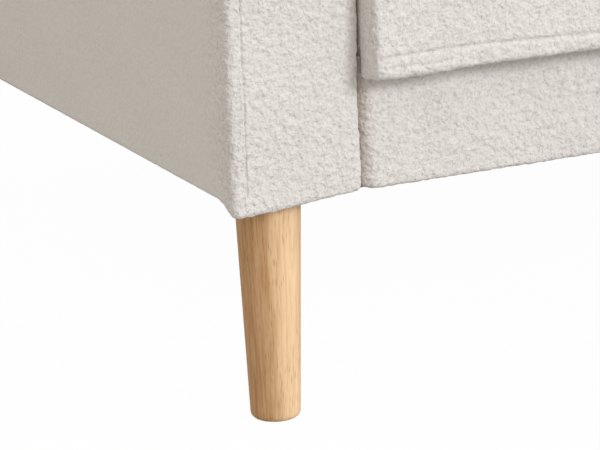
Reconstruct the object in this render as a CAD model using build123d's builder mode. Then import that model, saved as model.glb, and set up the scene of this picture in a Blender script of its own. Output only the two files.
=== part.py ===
from build123d import *
import os

# A two-seat sofa in looped-pile cloth on turned wooden legs, with loose seat and back cushions.
# Millimetres, +Z up, the front faces -Y, and the origin is on the floor under the middle of the sofa.

# Overall sizes
overall_width = 1600.0
overall_depth = 860.0  # front of the seat cushions to the back of the sofa
arm_height = 600.0
back_height = 790.0
leg_height = 160.0  # floor to the underside of the upholstery
deck_height = 250.0  # floor to the platform under the seat cushions

# Cloth, wadding and foam
cover_thickness = 4.0
outer_padding = 6.0  # wadding on the outside of the arms and the back
arm_padding = 16.0  # foam on the inside and the top of an arm
front_padding = 12.0  # foam on the front of the arms and of the front rail
back_padding = 30.0  # foam on the front of the back
edge_round = 14.0  # radius of the upholstered edges
seam_inset = 11.0  # a seam runs this far in from the edge that it follows
dust_cover_thickness = 1.0
dust_cover_inset = 6.0
fit_gap = 0.3  # between soft pieces that lie on each other

# Timber frame
frame_section = 60.0  # width of the timbers in the arms and the back
post_depth = 45.0
arm_bottom_rail_height = 40.0
arm_top_rail_height = 25.0
board_thickness = 4.0
back_bottom_rail_height = 60.0
back_top_rail_height = 35.0
seat_rail_thickness = 28.0
side_rail_thickness = 25.0
stretcher_width = 34.0
stretcher_height = 40.0
corner_block_side = 70.0
corner_block_height = 40.0

# Legs and their fixings
leg_top_radius = 22.6
leg_bottom_radius = 17.0
leg_foot_round = 4.0
leg_inset_x = 42.0  # leg axis to the outside of the arm
leg_inset_y = 38.0  # leg axis to the front, or to the back, of the upholstery
glide_radius = 12.0
glide_thickness = 3.0
glide_recess = 2.5  # depth of the glide inside the foot
glide_clearance = 0.2
plate_size = 44.0
plate_thickness = 3.0
plate_corner_round = 5.0
leg_clearance = 1.0  # between a leg and the cloth round it
bolt_radius = 4.0
bolt_clearance = 0.3
leg_bolt_depth = 38.0  # length of the bolt inside the leg
leg_bolt_reach = 30.0  # length of the bolt above the plate
screw_radius = 2.0
screw_head_radius = 4.0
screw_length = 18.0
screw_spacing = 31.0
screw_clearance = 0.1

# Bolts that hold the arms and the back to the seat frame
frame_bolt_head_radius = 9.0
frame_bolt_head_height = 5.0
frame_bolt_grip = 30.0  # length of the bolt in the timber that it draws in
side_bolt_end_distance = 150.0
back_bolt_spacing = 640.0

# Springs, webbing and deck
springs_per_seat = 5
spring_wire = 3.8
spring_width = 58.0
spring_bars = 17
clip_width = 24.0
clip_thickness = 2.0
clip_length = 22.0
deck_pad_thickness = 8.0
deck_cloth_thickness = 2.0
webbing_straps = 8
webbing_width = 50.0
webbing_thickness = 2.0
webbing_end_distance = 10.0

# Loose cushions
cushion_overhang = 25.0  # the seat cushions stand this far in front of the rail
cushion_side_gap = 2.0
seat_cushion_height = 172.0
seat_cushion_crown = 16.0
seat_front_bulge = 8.0
seat_lip_drop = 10.0  # the front edge hangs this far below the deck
back_cushion_height = 545.0
back_cushion_base = 160.0
back_cushion_top = 112.0
back_cushion_crown = 14.0
cushion_end_draw = 14.0  # the ends are drawn in by this much
cushion_wrap = 16.0  # cloth and fibre wrap round the filling
zip_room = 7.0  # space behind a cushion for its zip
zip_length = 460.0
zip_tape_width = 28.0
zip_tape_thickness = 1.0
zip_chain_width = 6.0
zip_chain_height = 1.6
zip_slider_length = 14.0
zip_slider_width = 11.0
zip_slider_wall = 1.5
zip_pull_length = 26.0
zip_pull_width = 7.0
back_zip_height = 60.0  # height of the zip above the deck on a back cushion

# Heights, counted up from the floor
cover_z = leg_height + dust_cover_thickness
frame_z = cover_z + cover_thickness
leg_top_z = frame_z - plate_thickness
arm_frame_top_z = arm_height - cover_thickness - arm_padding
back_frame_top_z = back_height - cover_thickness - arm_padding
deck_pad_top_z = deck_height - deck_cloth_thickness
deck_pad_z = deck_pad_top_z - deck_pad_thickness
spring_z = deck_pad_z - fit_gap - spring_wire / 2
rail_top_z = spring_z - spring_wire / 2 - clip_thickness
cushion_z = deck_height + fit_gap
frame_bolt_z = frame_z + arm_bottom_rail_height / 2

# Depths, counted from the front
front_y = -overall_depth / 2 + cushion_overhang
rear_y = overall_depth / 2
back_thickness = (
    2 * cover_thickness + outer_padding + frame_section + webbing_thickness + back_padding
)
back_front_y = rear_y - back_thickness
back_frame_rear_y = rear_y - cover_thickness - outer_padding
back_frame_y = back_frame_rear_y - frame_section
webbing_y = back_frame_y - webbing_thickness
arm_frame_y = front_y + cover_thickness + front_padding
front_rail_rear_y = arm_frame_y + seat_rail_thickness
rear_rail_y = back_front_y - seat_rail_thickness

# Widths: the left arm lies on the -X side, and the right one is its mirror image
arm_width = 2 * cover_thickness + outer_padding + frame_section + board_thickness + arm_padding
outer_x = overall_width / 2
inner_x = outer_x - arm_width
frame_outer_x = outer_x - cover_thickness - outer_padding
frame_inner_x = frame_outer_x - frame_section
board_inner_x = frame_inner_x - board_thickness
side_rail_inner_x = inner_x - side_rail_thickness
under_lip = min(leg_inset_x, leg_inset_y) - max(plate_size / 2, leg_top_radius) - leg_clearance

leg_x = outer_x - leg_inset_x
front_leg_y = front_y + leg_inset_y
rear_leg_y = rear_y - leg_inset_y
leg_points = {
    "front_left": (-leg_x, front_leg_y),
    "front_right": (leg_x, front_leg_y),
    "rear_left": (-leg_x, rear_leg_y),
    "rear_right": (leg_x, rear_leg_y),
}
side_bolt_ys = (
    front_rail_rear_y + side_bolt_end_distance,
    rear_rail_y - side_bolt_end_distance,
)
back_bolt_xs = (-back_bolt_spacing / 2, back_bolt_spacing / 2)

BOTTOM = (Align.CENTER, Align.CENTER, Align.MIN)
ALONG_X = (0, 90, 0)
ALONG_Y = (-90, 0, 0)

os.makedirs("parts", exist_ok=True)


def save(part, name):
    """Names a finished piece and writes it to its own file."""
    part.label = name
    export_step(part, f"parts/{name}.step")


def save_pair(left_part, name):
    """Writes a piece of the left side and its mirror image on the right side."""
    save(left_part, f"{name}_left")
    save(mirror(left_part, about=Plane.YZ), f"{name}_right")


def save_both(left_part, name):
    """Writes a piece of the left side together with its mirror image, as two solids of one node."""
    with BuildPart() as both:
        add(left_part)
        mirror(about=Plane.YZ)
    save(both.part, name)


def block(low, high, mode=Mode.ADD):
    """A plain block between two opposite corners, in the part that is being built."""
    with Locations(tuple((a + b) / 2 for a, b in zip(low, high))):
        Box(*[b - a for a, b in zip(low, high)], mode=mode)


def upholstered_block(low, high, radius, rounded_rear):
    """A block with soft front and top edges, and soft rear edges too where nothing stands behind it."""
    with BuildPart() as soft:
        block(low, high)
        upright = soft.edges().filter_by(Axis.Z)
        top = soft.edges().group_by(Axis.Z)[-1]
        if not rounded_rear:
            upright = upright.group_by(Axis.Y)[0]
            top = top - top.group_by(Axis.Y)[-1]
        fillet(upright + top, radius)
    return soft.part


def screw(grow):
    """A countersunk wood screw pointing up, with its head at the origin, or its hole if it is grown."""
    with BuildPart() as wood_screw:
        with BuildSketch(Plane.XZ):
            with BuildLine():
                Polyline(
                    (0, 0),
                    (screw_head_radius + grow, 0),
                    (screw_radius + grow, screw_head_radius - screw_radius),
                    (screw_radius + grow, screw_length - screw_radius),
                    (0, screw_length + grow),
                    close=True,
                )
            make_face()
        revolve(axis=Axis.Z)
    return wood_screw.part


def screw_locations(points):
    """The four screw places round each leg axis, at the underside of the mounting plate."""
    half = screw_spacing / 2
    return [
        (x + dx, y + dy, leg_top_z) for x, y in points for dx in (-half, half) for dy in (-half, half)
    ]


def drill_for_legs(points):
    """Cuts the holes for the leg bolts and the plate screws into the timber above these legs."""
    with Locations(*[(x, y, frame_z) for x, y in points]):
        Cylinder(bolt_radius + bolt_clearance, leg_bolt_reach, align=BOTTOM, mode=Mode.SUBTRACT)
    with Locations(*screw_locations(points)):
        add(screw(screw_clearance), mode=Mode.SUBTRACT)


def drill_side_bolts():
    """Cuts the holes for the bolts between the left arm and the seat frame."""
    end_x = frame_inner_x + frame_bolt_grip
    length = end_x - side_rail_inner_x + frame_bolt_head_height
    with Locations(*[Location((length / 2 - end_x, y, frame_bolt_z), ALONG_X) for y in side_bolt_ys]):
        Cylinder(bolt_radius + bolt_clearance, length, mode=Mode.SUBTRACT)


def drill_back_bolts():
    """Cuts the holes for the bolts between the seat frame and the back."""
    end_y = back_frame_y + frame_bolt_grip
    length = end_y - rear_rail_y + frame_bolt_head_height
    with Locations(*[Location((x, end_y - length / 2, frame_bolt_z), ALONG_Y) for x in back_bolt_xs]):
        Cylinder(bolt_radius + bolt_clearance, length, mode=Mode.SUBTRACT)


# Turned legs, each with a bore in its top for the hanger bolt and a recess in its foot for the felt glide
leg_foot_z = glide_thickness - glide_recess
for corner, (x, y) in leg_points.items():
    with BuildPart(Plane((x, y, leg_foot_z))) as leg:
        Cone(leg_bottom_radius, leg_top_radius, leg_top_z - leg_foot_z, align=BOTTOM)
        fillet(leg.edges().sort_by(Axis.Z)[0], leg_foot_round)
        Cylinder(glide_radius + glide_clearance, glide_recess, align=BOTTOM, mode=Mode.SUBTRACT)
        with Locations((0, 0, leg_top_z - leg_foot_z)):
            Hole(bolt_radius + bolt_clearance, depth=leg_bolt_depth)
    save(leg.part, f"leg_{corner}")

with BuildPart() as leg_glides:
    with Locations(*leg_points.values()):
        Cylinder(glide_radius, glide_thickness, align=BOTTOM)
save(leg_glides.part, "leg_glides")

with BuildPart(Plane.XY.offset(leg_top_z - leg_bolt_depth)) as leg_hanger_bolts:
    with Locations(*leg_points.values()):
        Cylinder(bolt_radius, leg_bolt_depth + plate_thickness + leg_bolt_reach - bolt_radius, align=BOTTOM)
    chamfer(leg_hanger_bolts.edges().group_by(Axis.Z)[-1], bolt_radius / 4)
save(leg_hanger_bolts.part, "leg_hanger_bolts")

with BuildPart() as leg_mounting_plates:
    with Locations(*[(x, y, leg_top_z) for x, y in leg_points.values()]):
        Box(plate_size, plate_size, plate_thickness, align=BOTTOM)
    fillet(leg_mounting_plates.edges().filter_by(Axis.Z), plate_corner_round)
    with Locations(*[(x, y, leg_top_z) for x, y in leg_points.values()]):
        Cylinder(bolt_radius + bolt_clearance, plate_thickness, align=BOTTOM, mode=Mode.SUBTRACT)
    with Locations(*screw_locations(leg_points.values())):
        add(screw(screw_clearance), mode=Mode.SUBTRACT)
save(leg_mounting_plates.part, "leg_mounting_plates")

with BuildPart() as leg_plate_screws:
    with Locations(*screw_locations(leg_points.values())):
        add(screw(0))
save(leg_plate_screws.part, "leg_plate_screws")

# Timber frame of the left arm: bottom rail, two posts, top rail and the board towards the seat
with BuildPart() as arm_bottom_rail:
    block(
        (-frame_outer_x, arm_frame_y, frame_z),
        (-frame_inner_x, back_front_y, frame_z + arm_bottom_rail_height),
    )
    drill_for_legs([leg_points["front_left"]])
    drill_side_bolts()
save_both(arm_bottom_rail.part, "arm_bottom_rails")

with BuildPart() as arm_posts:
    for y in (arm_frame_y, back_front_y - post_depth):
        block(
            (-frame_outer_x, y, frame_z + arm_bottom_rail_height),
            (-frame_inner_x, y + post_depth, arm_frame_top_z - arm_top_rail_height),
        )
save_pair(arm_posts.part, "arm_posts")

with BuildPart() as arm_top_rail:
    block(
        (-frame_outer_x, arm_frame_y, arm_frame_top_z - arm_top_rail_height),
        (-frame_inner_x, back_front_y, arm_frame_top_z),
    )
save_pair(arm_top_rail.part, "arm_top_rail")

with BuildPart() as arm_inner_board:
    block((-frame_inner_x, arm_frame_y, frame_z), (-board_inner_x, back_front_y, arm_frame_top_z))
    drill_side_bolts()
save_both(arm_inner_board.part, "arm_inner_boards")

# Foam and wadding round the frame of the left arm
with BuildPart() as arm_foam:
    skin = cover_thickness + fit_gap
    add(
        upholstered_block(
            (-outer_x + skin, front_y + skin, frame_z),
            (-inner_x - skin, back_front_y, arm_height - skin),
            edge_round - skin,
            rounded_rear=False,
        )
    )
    block(
        (-frame_outer_x, arm_frame_y, frame_z),
        (-board_inner_x, back_front_y, arm_frame_top_z),
        mode=Mode.SUBTRACT,
    )
    drill_side_bolts()
save_pair(arm_foam.part, "arm_padding")

# Cover of the left arm as one hollow skin, open at the back, with its lower edge turned under
with BuildPart() as arm_skin:
    add(
        upholstered_block(
            (-outer_x, front_y, cover_z),
            (-inner_x, back_front_y, arm_height),
            edge_round,
            rounded_rear=False,
        )
    )
    add(
        upholstered_block(
            (-outer_x + cover_thickness, front_y + cover_thickness, frame_z),
            (-inner_x - cover_thickness, back_front_y, arm_height - cover_thickness),
            edge_round - cover_thickness,
            rounded_rear=False,
        ),
        mode=Mode.SUBTRACT,
    )
    block(
        (-outer_x + under_lip, front_y + under_lip, cover_z),
        (-inner_x - under_lip, back_front_y, frame_z),
        mode=Mode.SUBTRACT,
    )
    drill_side_bolts()

# The skin is sewn from three panels that meet at seams set in from the outer and the front edge
side_seam = Plane.YZ.offset(-outer_x + seam_inset)
front_seam = Plane.XZ.offset(-front_y - seam_inset)

with BuildPart() as arm_outer_cover:
    add(arm_skin.part)
    split(bisect_by=side_seam, keep=Keep.BOTTOM)
save_pair(arm_outer_cover.part, "arm_outer_cover")

with BuildPart() as arm_front_cover:
    add(arm_skin.part)
    split(bisect_by=side_seam, keep=Keep.TOP)
    split(bisect_by=front_seam, keep=Keep.TOP)
save_pair(arm_front_cover.part, "arm_front_cover")

with BuildPart() as arm_inner_cover:
    add(arm_skin.part)
    split(bisect_by=side_seam, keep=Keep.TOP)
    split(bisect_by=front_seam, keep=Keep.BOTTOM)
save_pair(arm_inner_cover.part, "arm_inner_cover")

# Timber frame of the back
with BuildPart() as back_bottom_rail:
    block(
        (-frame_outer_x, back_frame_y, frame_z),
        (frame_outer_x, back_frame_rear_y, frame_z + back_bottom_rail_height),
    )
    drill_for_legs([leg_points["rear_left"], leg_points["rear_right"]])
    drill_back_bolts()
save(back_bottom_rail.part, "back_bottom_rail")

with BuildPart() as back_posts:
    for x in (-frame_outer_x, frame_outer_x - post_depth):
        block(
            (x, back_frame_y, frame_z + back_bottom_rail_height),
            (x + post_depth, back_frame_rear_y, back_frame_top_z - back_top_rail_height),
        )
save(back_posts.part, "back_posts")

with BuildPart() as back_top_rail:
    block(
        (-frame_outer_x, back_frame_y, back_frame_top_z - back_top_rail_height),
        (frame_outer_x, back_frame_rear_y, back_frame_top_z),
    )
save(back_top_rail.part, "back_top_rail")

# Upright elastic straps on the front of the back frame, clear of the bolts from the seat frame
with BuildPart() as back_webbing:
    strap_pitch = 2 * frame_inner_x / webbing_straps
    for n in range(webbing_straps):
        x = -frame_inner_x + (n + 0.5) * strap_pitch
        block(
            (x - webbing_width / 2, webbing_y, frame_z + webbing_end_distance),
            (x + webbing_width / 2, back_frame_y, back_frame_top_z - webbing_end_distance),
        )
    drill_back_bolts()
save(back_webbing.part, "back_webbing")

# Foam and wadding round the frame of the back
with BuildPart() as back_foam:
    skin = cover_thickness + fit_gap
    add(
        upholstered_block(
            (-outer_x + skin, back_front_y + skin, frame_z),
            (outer_x - skin, rear_y - skin, back_height - skin),
            edge_round - skin,
            rounded_rear=True,
        )
    )
    block(
        (-frame_outer_x, webbing_y, frame_z),
        (frame_outer_x, back_frame_rear_y, back_frame_top_z),
        mode=Mode.SUBTRACT,
    )
    drill_back_bolts()
save(back_foam.part, "back_padding")

# Cover of the back, sewn from an inner panel and an outer panel at a seam near the rear edge
with BuildPart() as back_skin:
    add(
        upholstered_block(
            (-outer_x, back_front_y, cover_z), (outer_x, rear_y, back_height), edge_round, rounded_rear=True
        )
    )
    add(
        upholstered_block(
            (-outer_x + cover_thickness, back_front_y + cover_thickness, frame_z),
            (outer_x - cover_thickness, rear_y - cover_thickness, back_height - cover_thickness),
            edge_round - cover_thickness,
            rounded_rear=True,
        ),
        mode=Mode.SUBTRACT,
    )
    block(
        (-outer_x + under_lip, back_front_y + under_lip, cover_z),
        (outer_x - under_lip, rear_y - under_lip, frame_z),
        mode=Mode.SUBTRACT,
    )
    drill_back_bolts()

rear_seam = Plane.XZ.offset(-rear_y + seam_inset)

with BuildPart() as back_inner_cover:
    add(back_skin.part)
    split(bisect_by=rear_seam, keep=Keep.TOP)
save(back_inner_cover.part, "back_inner_cover")

with BuildPart() as back_outer_cover:
    add(back_skin.part)
    split(bisect_by=rear_seam, keep=Keep.BOTTOM)
save(back_outer_cover.part, "back_outer_cover")

# Seat frame between the arms
with BuildPart() as front_rail:
    block((-inner_x, arm_frame_y, frame_z), (inner_x, front_rail_rear_y, rail_top_z))
save(front_rail.part, "front_rail")

with BuildPart() as rear_rail:
    block((-inner_x, rear_rail_y, frame_z), (inner_x, back_front_y, rail_top_z))
    drill_back_bolts()
save(rear_rail.part, "rear_rail")

with BuildPart() as side_rail:
    block((-inner_x, front_rail_rear_y, frame_z), (-side_rail_inner_x, rear_rail_y, rail_top_z))
    drill_side_bolts()
save_both(side_rail.part, "side_rails")

with BuildPart() as centre_stretcher:
    block(
        (-stretcher_width / 2, front_rail_rear_y, frame_z),
        (stretcher_width / 2, rear_rail_y, frame_z + stretcher_height),
    )
save(centre_stretcher.part, "centre_stretcher")

# Three-cornered blocks glued into the corners of the seat frame
with BuildPart() as corner_blocks:
    for sx in (-1, 1):
        for corner_y, sy in ((front_rail_rear_y, 1), (rear_rail_y, -1)):
            with BuildSketch(Plane.XY.offset(frame_z)):
                with BuildLine():
                    Polyline(
                        (sx * side_rail_inner_x, corner_y),
                        (sx * (side_rail_inner_x - corner_block_side), corner_y),
                        (sx * side_rail_inner_x, corner_y + sy * corner_block_side),
                        close=True,
                    )
                make_face()
            extrude(amount=corner_block_height)
save(corner_blocks.part, "corner_blocks")

# Bolts from inside the seat frame into the arms and the back
with BuildPart() as frame_bolts:
    head_x = side_rail_inner_x - frame_bolt_head_height / 2
    tip_x = frame_inner_x + frame_bolt_grip
    for sx in (-1, 1):
        with Locations(*[Location((sx * head_x, y, frame_bolt_z), ALONG_X) for y in side_bolt_ys]):
            Cylinder(frame_bolt_head_radius, frame_bolt_head_height)
        middle = sx * (head_x + tip_x) / 2
        with Locations(*[Location((middle, y, frame_bolt_z), ALONG_X) for y in side_bolt_ys]):
            Cylinder(bolt_radius, tip_x - head_x)
    head_y = rear_rail_y - frame_bolt_head_height / 2
    tip_y = back_frame_y + frame_bolt_grip
    with Locations(*[Location((x, head_y, frame_bolt_z), ALONG_Y) for x in back_bolt_xs]):
        Cylinder(frame_bolt_head_radius, frame_bolt_head_height)
    with Locations(*[Location((x, (head_y + tip_y) / 2, frame_bolt_z), ALONG_Y) for x in back_bolt_xs]):
        Cylinder(bolt_radius, tip_y - head_y)
save(frame_bolts.part, "frame_bolts")

# Foam and cover of the front rail
with BuildPart() as front_rail_foam:
    skin = cover_thickness + fit_gap
    foam_edge = edge_round - skin
    with BuildSketch(Plane.YZ.offset(-inner_x)) as foam_profile:
        with BuildLine():
            Polyline(
                (front_y + skin, frame_z),
                (arm_frame_y, frame_z),
                (arm_frame_y, deck_height - skin),
                (front_y + skin, deck_height - skin),
                close=True,
            )
        make_face()
        fillet(foam_profile.vertices().group_by(Axis.Y)[-1].sort_by(Axis.X)[0], foam_edge)
    extrude(amount=2 * inner_x)
save(front_rail_foam.part, "front_rail_padding")

with BuildPart() as front_rail_skin:
    with BuildSketch(Plane.YZ.offset(-inner_x)) as skin_profile:
        with BuildLine():
            Polyline(
                (front_y, cover_z),
                (front_rail_rear_y, cover_z),
                (front_rail_rear_y, deck_height),
                (front_y, deck_height),
                close=True,
            )
        make_face()
        fillet(skin_profile.vertices().group_by(Axis.Y)[-1].sort_by(Axis.X)[0], edge_round)
    extrude(amount=2 * inner_x)
    with BuildSketch(Plane.YZ.offset(-inner_x)) as hollow_profile:
        with BuildLine():
            Polyline(
                (front_y + cover_thickness, frame_z),
                (front_rail_rear_y, frame_z),
                (front_rail_rear_y, deck_height - cover_thickness),
                (front_y + cover_thickness, deck_height - cover_thickness),
                close=True,
            )
        make_face()
        fillet(hollow_profile.vertices().group_by(Axis.Y)[-1].sort_by(Axis.X)[0], edge_round - cover_thickness)
    extrude(amount=2 * inner_x, mode=Mode.SUBTRACT)
    block((-inner_x, front_y + under_lip, cover_z), (inner_x, front_rail_rear_y, frame_z), mode=Mode.SUBTRACT)
save(front_rail_skin.part, "front_rail_cover")

# Zigzag springs from the front rail to the rear rail, each one wire of straight bars and half-round bends
spring_start_y = front_rail_rear_y - clip_length / 2
spring_pitch = (rear_rail_y + clip_length / 2 - spring_start_y) / (spring_bars - 1)
bar_half = spring_width / 2 - spring_pitch / 2
seat_half_width = inner_x
spring_spacing = seat_half_width / springs_per_seat
spring_xs = [
    side * (n + 0.5) * spring_spacing for side in (-1, 1) for n in range(springs_per_seat)
]

with BuildPart() as spring:
    with BuildLine() as wire_line:
        for n in range(spring_bars):
            side = 1 if n % 2 == 0 else -1
            y = spring_start_y + n * spring_pitch
            Line((-side * bar_half, y, spring_z), (side * bar_half, y, spring_z))
            if n < spring_bars - 1:
                ThreePointArc(
                    (side * bar_half, y, spring_z),
                    (side * (bar_half + spring_pitch / 2), y + spring_pitch / 2, spring_z),
                    (side * bar_half, y + spring_pitch, spring_z),
                )
    with BuildSketch(Plane((-bar_half, spring_start_y, spring_z), x_dir=(0, 1, 0), z_dir=(1, 0, 0))):
        Circle(spring_wire / 2)
    sweep(path=wire_line.wire())

with BuildPart() as seat_springs:
    with Locations(*[(x, 0, 0) for x in spring_xs]):
        add(spring.part)
save(seat_springs.part, "seat_springs")

# Folded steel clips on the rails that hold the end bars of the springs
with BuildPart() as spring_clips:
    wire_room = spring_wire + 2 * fit_gap
    leaf = clip_thickness
    for y, sy in ((spring_start_y, 1), (spring_start_y + (spring_bars - 1) * spring_pitch, -1)):
        back_of_clip = y - sy * (wire_room / 2 + leaf)
        front_of_clip = y + sy * clip_length / 2
        low_y, high_y = sorted((back_of_clip, front_of_clip))
        room_low, room_high = sorted((back_of_clip + sy * leaf, front_of_clip))
        for x in spring_xs:
            block(
                (x - clip_width / 2, low_y, rail_top_z),
                (x + clip_width / 2, high_y, rail_top_z + 2 * leaf + wire_room),
            )
            block(
                (x - clip_width / 2, room_low, rail_top_z + leaf),
                (x + clip_width / 2, room_high, rail_top_z + leaf + wire_room),
                mode=Mode.SUBTRACT,
            )
save(spring_clips.part, "spring_clips")

# Felt pad on the springs and the platform cloth over it
with BuildPart() as seat_deck_pad:
    block(
        (-inner_x, front_rail_rear_y + clip_length, deck_pad_z),
        (inner_x, rear_rail_y - clip_length, deck_pad_top_z),
    )
save(seat_deck_pad.part, "seat_deck_pad")

with BuildPart() as seat_deck_cloth:
    block((-inner_x, front_rail_rear_y, deck_pad_top_z), (inner_x, back_front_y, deck_height))
save(seat_deck_cloth.part, "seat_deck_cloth")

# Thin black cloth under the whole sofa, cut out round the legs
with BuildPart() as dust_cover:
    block(
        (-outer_x + dust_cover_inset, front_y + dust_cover_inset, leg_height),
        (outer_x - dust_cover_inset, rear_y - dust_cover_inset, cover_z),
    )
    with Locations(*[(x, y, leg_height) for x, y in leg_points.values()]):
        Cylinder(
            leg_top_radius + leg_clearance, dust_cover_thickness, align=BOTTOM, mode=Mode.SUBTRACT
        )
save(dust_cover.part, "dust_cover")

# Loose cushions: both kinds are a row of cross-sections, fullest in the middle and drawn in at the ends
cushion_outer_x = inner_x - cushion_side_gap
cushion_inner_x = cushion_side_gap / 2
cushion_half = (cushion_outer_x - cushion_inner_x) / 2
cushion_middle_x = -(cushion_outer_x + cushion_inner_x) / 2
stations = (-1, -0.97, -0.9, -0.72, -0.4, 0, 0.4, 0.72, 0.9, 0.97, 1)
END_SQUARENESS = 8  # the higher, the squarer the ends look from above
END_FLATNESS = 0.8  # share of the crown that is gone at the ends

back_cushion_y = back_front_y - zip_room
seat_cushion_rear_y = back_cushion_y - back_cushion_base - zip_room
seat_cushion_front_y = front_y - cushion_overhang
seat_cushion_top_z = cushion_z + seat_cushion_height
back_cushion_top_z = cushion_z + back_cushion_height


def drawn_in(u):
    """How far the cross-section at u, from -1 at one end to 1 at the other, is drawn in."""
    return cushion_end_draw * (1 - (1 - abs(u) ** END_SQUARENESS) ** (1 / END_SQUARENESS))


with BuildPart() as seat_cushion_cover:
    for u in stations:
        inset = drawn_in(u)
        crown = seat_cushion_crown * (1 - END_FLATNESS * u**2)
        rear = seat_cushion_rear_y - inset
        front = seat_cushion_front_y + inset
        lip = front + seat_front_bulge
        top = seat_cushion_top_z - inset
        drop = cushion_z - seat_lip_drop
        with BuildSketch(Plane.YZ.offset(cushion_middle_x + u * cushion_half)):
            with BuildLine():
                Polyline((rear, top), (rear, cushion_z), (front_y - fit_gap, cushion_z), (lip, drop))
                ThreePointArc((lip, drop), (front, (drop + top) / 2), (lip, top))
                ThreePointArc((lip, top), ((lip + rear) / 2, top + crown), (rear, top))
            make_face()
    loft(ruled=True)
    block(
        (-cushion_outer_x + cushion_wrap, front_y + cushion_wrap, cushion_z + cover_thickness),
        (
            -cushion_inner_x - cushion_wrap,
            seat_cushion_rear_y - cushion_wrap,
            seat_cushion_top_z - cushion_wrap,
        ),
        mode=Mode.SUBTRACT,
    )
save_pair(seat_cushion_cover.part, "seat_cushion_cover")

with BuildPart() as seat_cushion_foam:
    block(
        (
            -cushion_outer_x + cushion_wrap + fit_gap,
            front_y + cushion_wrap + fit_gap,
            cushion_z + cover_thickness + fit_gap,
        ),
        (
            -cushion_inner_x - cushion_wrap - fit_gap,
            seat_cushion_rear_y - cushion_wrap - fit_gap,
            seat_cushion_top_z - cushion_wrap - fit_gap,
        ),
    )
save_pair(seat_cushion_foam.part, "seat_cushion_foam")

with BuildPart() as back_cushion_cover:
    for u in stations:
        inset = drawn_in(u)
        crown = back_cushion_crown * (1 - END_FLATNESS * u**2)
        rear = back_cushion_y - inset
        base = back_cushion_y - back_cushion_base + inset
        upper = back_cushion_y - back_cushion_top + inset
        top = back_cushion_top_z - inset
        shoulder = seat_cushion_top_z
        with BuildSketch(Plane.YZ.offset(cushion_middle_x + u * cushion_half)):
            with BuildLine():
                Polyline((rear, top), (rear, cushion_z), (base, cushion_z), (base, shoulder))
                TangentArc((base, shoulder), (upper, top), tangent=(0, 1))
                ThreePointArc((upper, top), ((upper + rear) / 2, top + crown), (rear, top))
            make_face()
    loft(ruled=True)
    block(
        (
            -cushion_outer_x + cushion_wrap,
            back_cushion_y - back_cushion_top + cushion_wrap,
            cushion_z + cover_thickness,
        ),
        (
            -cushion_inner_x - cushion_wrap,
            back_cushion_y - cushion_wrap,
            back_cushion_top_z - cushion_wrap,
        ),
        mode=Mode.SUBTRACT,
    )
save_pair(back_cushion_cover.part, "back_cushion_cover")

with BuildPart() as back_cushion_fill:
    block(
        (
            -cushion_outer_x + cushion_wrap + fit_gap,
            back_cushion_y - back_cushion_top + cushion_wrap + fit_gap,
            cushion_z + cover_thickness + fit_gap,
        ),
        (
            -cushion_inner_x - cushion_wrap - fit_gap,
            back_cushion_y - cushion_wrap - fit_gap,
            back_cushion_top_z - cushion_wrap - fit_gap,
        ),
    )
save_pair(back_cushion_fill.part, "back_cushion_fill")


def save_zip(name, cushion_rear_y, z):
    """A zip along the rear face of the left cushion: a tape with its chain, and a slider that runs on it."""
    tape_y = cushion_rear_y + zip_tape_thickness
    chain_y = tape_y + zip_chain_height
    with BuildPart() as zip_tape:
        half = zip_length / 2
        block(
            (cushion_middle_x - half, cushion_rear_y, z - zip_tape_width / 2),
            (cushion_middle_x + half, tape_y, z + zip_tape_width / 2),
        )
        block(
            (cushion_middle_x - half, tape_y, z - zip_chain_width / 2),
            (cushion_middle_x + half, chain_y, z + zip_chain_width / 2),
        )
    save_pair(zip_tape.part, f"{name}_zip")

    start_x = cushion_middle_x - zip_length / 2
    slider_y = chain_y + fit_gap + zip_slider_wall
    with BuildPart() as zip_slider:
        block(
            (start_x, tape_y + fit_gap, z - zip_slider_width / 2),
            (start_x + zip_slider_length, slider_y, z + zip_slider_width / 2),
        )
        block(
            (start_x, tape_y, z - zip_chain_width / 2 - fit_gap),
            (start_x + zip_slider_length, chain_y + fit_gap, z + zip_chain_width / 2 + fit_gap),
            mode=Mode.SUBTRACT,
        )
        pull_x = start_x + zip_slider_length / 2
        block(
            (pull_x - zip_pull_width / 2, slider_y - zip_slider_wall, z - zip_pull_length),
            (pull_x + zip_pull_width / 2, slider_y, z),
        )
    save_pair(zip_slider.part, f"{name}_zip_slider")


save_zip("seat", seat_cushion_rear_y, cushion_z + seat_cushion_height / 2)
save_zip("back", back_cushion_y, cushion_z + back_zip_height)
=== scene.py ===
import math

import bmesh
import bpy
import numpy as np
from mathutils import Matrix, Vector


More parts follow.
